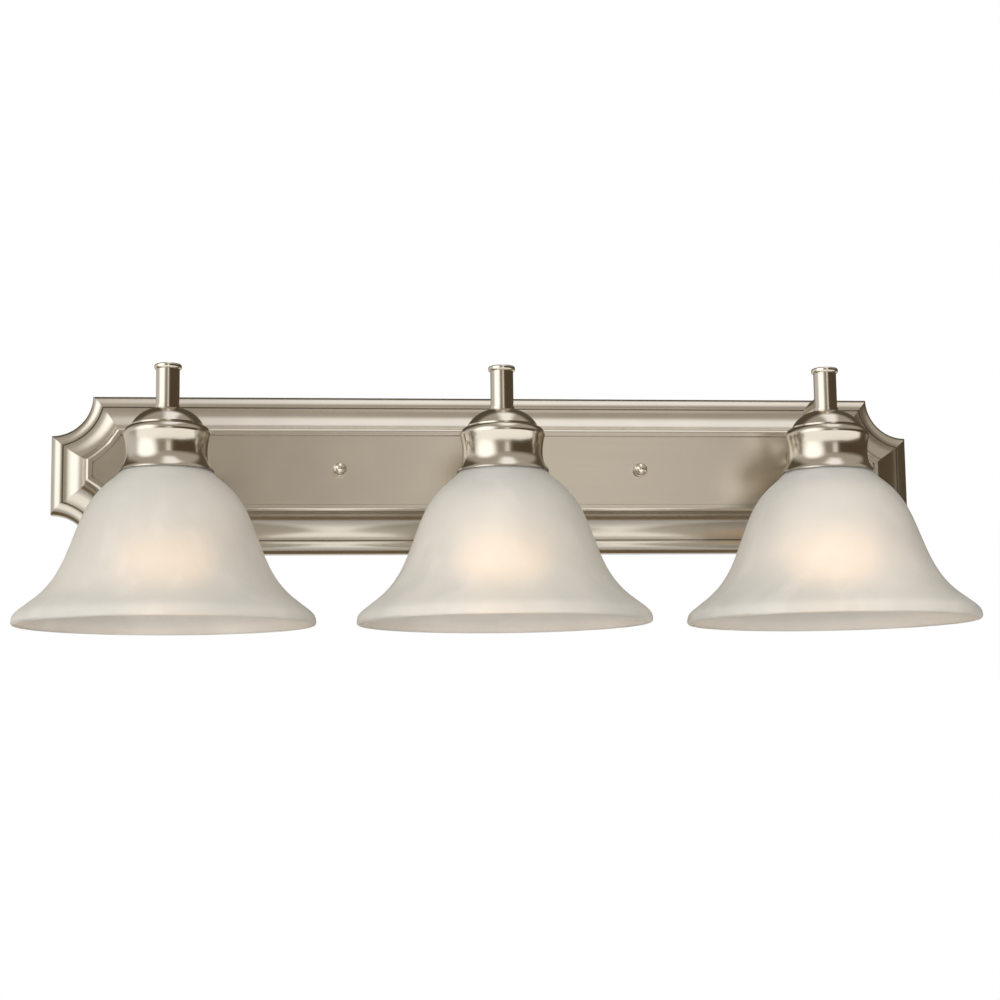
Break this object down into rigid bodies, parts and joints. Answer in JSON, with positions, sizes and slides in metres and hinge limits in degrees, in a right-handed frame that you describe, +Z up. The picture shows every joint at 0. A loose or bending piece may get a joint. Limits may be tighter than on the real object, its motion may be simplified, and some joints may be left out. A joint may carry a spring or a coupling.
{
  "type": "vanity light bar",
  "caption": "Wall light bar with a moulded satin nickel backplate, curved arms, turned holders and white frosted glass bell shades that open downwards over screw-in bulbs",
  "frame": {"origin": "On the wall plane, midway between the two box screw slots of the crossbar", "axes": "+X along the bar to the right as seen from the room, +Y into the wall, +Z up"},
  "size_m": [0.6224, 0.2172, 0.169],
  "materials": {
    "satin_nickel": "satin brushed nickel plate",
    "polished_nickel": "polished nickel plate",
    "zinc_steel": "zinc plated steel",
    "frosted_glass": "white frosted glass",
    "bulb_glass": "soft white bulb glass, lit",
    "bulb_metal": "bright aluminium",
    "brass": "plain brass",
    "socket_plastic": "moulded phenolic",
    "ring_plastic": "moulded phenolic",
    "green_screw": "green lacquer",
    "copper": "bare copper",
    "connector_plastic": "orange plastic",
    "black_insulation": "black insulation",
    "white_insulation": "white insulation"
  },
  "bodies": {
    "fixture": {"arm_center": "satin_nickel", "arm_left": "satin_nickel", "arm_nipples": "zinc_steel", "arm_nuts": "zinc_steel", "arm_right": "satin_nickel", "arm_washers": "zinc_steel", "backplate": "satin_nickel", "black_leads": "black_insulation", "center_contact_center": "brass", "center_contact_left": "brass", "center_contact_right": "brass", "crossbar": "zinc_steel", "crossbar_studs": "zinc_steel", "ground_screw": "green_screw", "ground_wire": "copper", "holder_center": "satin_nickel", "holder_left": "satin_nickel", "holder_nipples": "zinc_steel", "holder_right": "satin_nickel", "post_cap_center": "polished_nickel", "post_cap_left": "polished_nickel", "post_cap_right": "polished_nickel", "post_center": "satin_nickel", "post_left": "satin_nickel", "post_right": "satin_nickel", "screw_shell_center": "brass", "screw_shell_left": "brass", "screw_shell_right": "brass", "socket_body_center": "socket_plastic", "socket_body_left": "socket_plastic", "socket_body_right": "socket_plastic", "socket_cap_center": "socket_plastic", "socket_cap_left": "socket_plastic", "socket_cap_right": "socket_plastic", "stud_nuts": "zinc_steel", "terminal_screws": "brass", "white_leads": "white_insulation", "wire_connectors": "connector_plastic"},
    "ball_nut_left": {"ball_nut_left": "polished_nickel"},
    "ball_nut_right": {"ball_nut_right": "polished_nickel"},
    "bulb_tip_left": {"bulb_tip_left": "bulb_metal"},
    "bulb_left": {"bulb_glass_left": "bulb_glass", "bulb_base_left": "bulb_metal"},
    "shade_left": {"shade_left": "frosted_glass"},
    "shade_ring_left": {"shade_ring_left": "ring_plastic"},
    "bulb_tip_center": {"bulb_tip_center": "bulb_metal"},
    "bulb_center": {"bulb_glass_center": "bulb_glass", "bulb_base_center": "bulb_metal"},
    "shade_center": {"shade_center": "frosted_glass"},
    "shade_ring_center": {"shade_ring_center": "ring_plastic"},
    "bulb_tip_right": {"bulb_tip_right": "bulb_metal"},
    "bulb_right": {"bulb_glass_right": "bulb_glass", "bulb_base_right": "bulb_metal"},
    "shade_right": {"shade_right": "frosted_glass"},
    "shade_ring_right": {"shade_ring_right": "ring_plastic"}
  },
  "joints": [
    {"name": "bulb_left_out", "type": "slide", "parent": "fixture", "child": "bulb_tip_left", "axis": [0, 0, 1], "range_m": [-0.0145, 0]},
    {"name": "bulb_left_turn", "type": "hinge", "parent": "bulb_tip_left", "child": "bulb_left", "pos_m": [-0.216, -0.122, 0], "axis": [0, 0, 1], "range_deg": [-1440, 0]},
    {"name": "shade_left_drop", "type": "slide", "parent": "fixture", "child": "shade_left", "axis": [0, 0, 1], "range_m": [-0.007, 0]},
    {"name": "shade_ring_left_turn", "type": "hinge", "parent": "shade_left", "child": "shade_ring_left", "pos_m": [-0.216, -0.122, 0], "axis": [0, 0, 1], "range_deg": [-1010, 0]},
    {"name": "bulb_center_out", "type": "slide", "parent": "fixture", "child": "bulb_tip_center", "axis": [0, 0, 1], "range_m": [-0.0145, 0]},
    {"name": "bulb_center_turn", "type": "hinge", "parent": "bulb_tip_center", "child": "bulb_center", "pos_m": [0, -0.122, 0], "axis": [0, 0, 1], "range_deg": [-1440, 0]},
    {"name": "shade_center_drop", "type": "slide", "parent": "fixture", "child": "shade_center", "axis": [0, 0, 1], "range_m": [-0.007, 0]},
    {"name": "shade_ring_center_turn", "type": "hinge", "parent": "shade_center", "child": "shade_ring_center", "pos_m": [0, -0.122, 0], "axis": [0, 0, 1], "range_deg": [-1010, 0]},
    {"name": "bulb_right_out", "type": "slide", "parent": "fixture", "child": "bulb_tip_right", "axis": [0, 0, 1], "range_m": [-0.0145, 0]},
    {"name": "bulb_right_turn", "type": "hinge", "parent": "bulb_tip_right", "child": "bulb_right", "pos_m": [0.216, -0.122, 0], "axis": [0, 0, 1], "range_deg": [-1440, 0]},
    {"name": "shade_right_drop", "type": "slide", "parent": "fixture", "child": "shade_right", "axis": [0, 0, 1], "range_m": [-0.007, 0]},
    {"name": "shade_ring_right_turn", "type": "hinge", "parent": "shade_right", "child": "shade_ring_right", "pos_m": [0.216, -0.122, 0], "axis": [0, 0, 1], "range_deg": [-1010, 0]},
    {"name": "ball_nut_left_turn", "type": "hinge", "parent": "fixture", "child": "ball_nut_left", "pos_m": [-0.105, -0.038, 0], "axis": [0, -1, 0], "range_deg": [0, 2520]},
    {"name": "ball_nut_right_turn", "type": "hinge", "parent": "fixture", "child": "ball_nut_right", "pos_m": [0.105, -0.038, 0], "axis": [0, -1, 0], "range_deg": [0, 2520]}
  ],
  "couplings": [
    {"joint": "bulb_left_turn", "follows": "bulb_left_out", "rad_per_m": 1730.9},
    {"joint": "shade_ring_left_turn", "follows": "shade_left_drop", "rad_per_m": 2513.3},
    {"joint": "bulb_center_turn", "follows": "bulb_center_out", "rad_per_m": 1730.9},
    {"joint": "shade_ring_center_turn", "follows": "shade_center_drop", "rad_per_m": 2513.3},
    {"joint": "bulb_right_turn", "follows": "bulb_right_out", "rad_per_m": 1730.9},
    {"joint": "shade_ring_right_turn", "follows": "shade_right_drop", "rad_per_m": 2513.3}
  ]
}
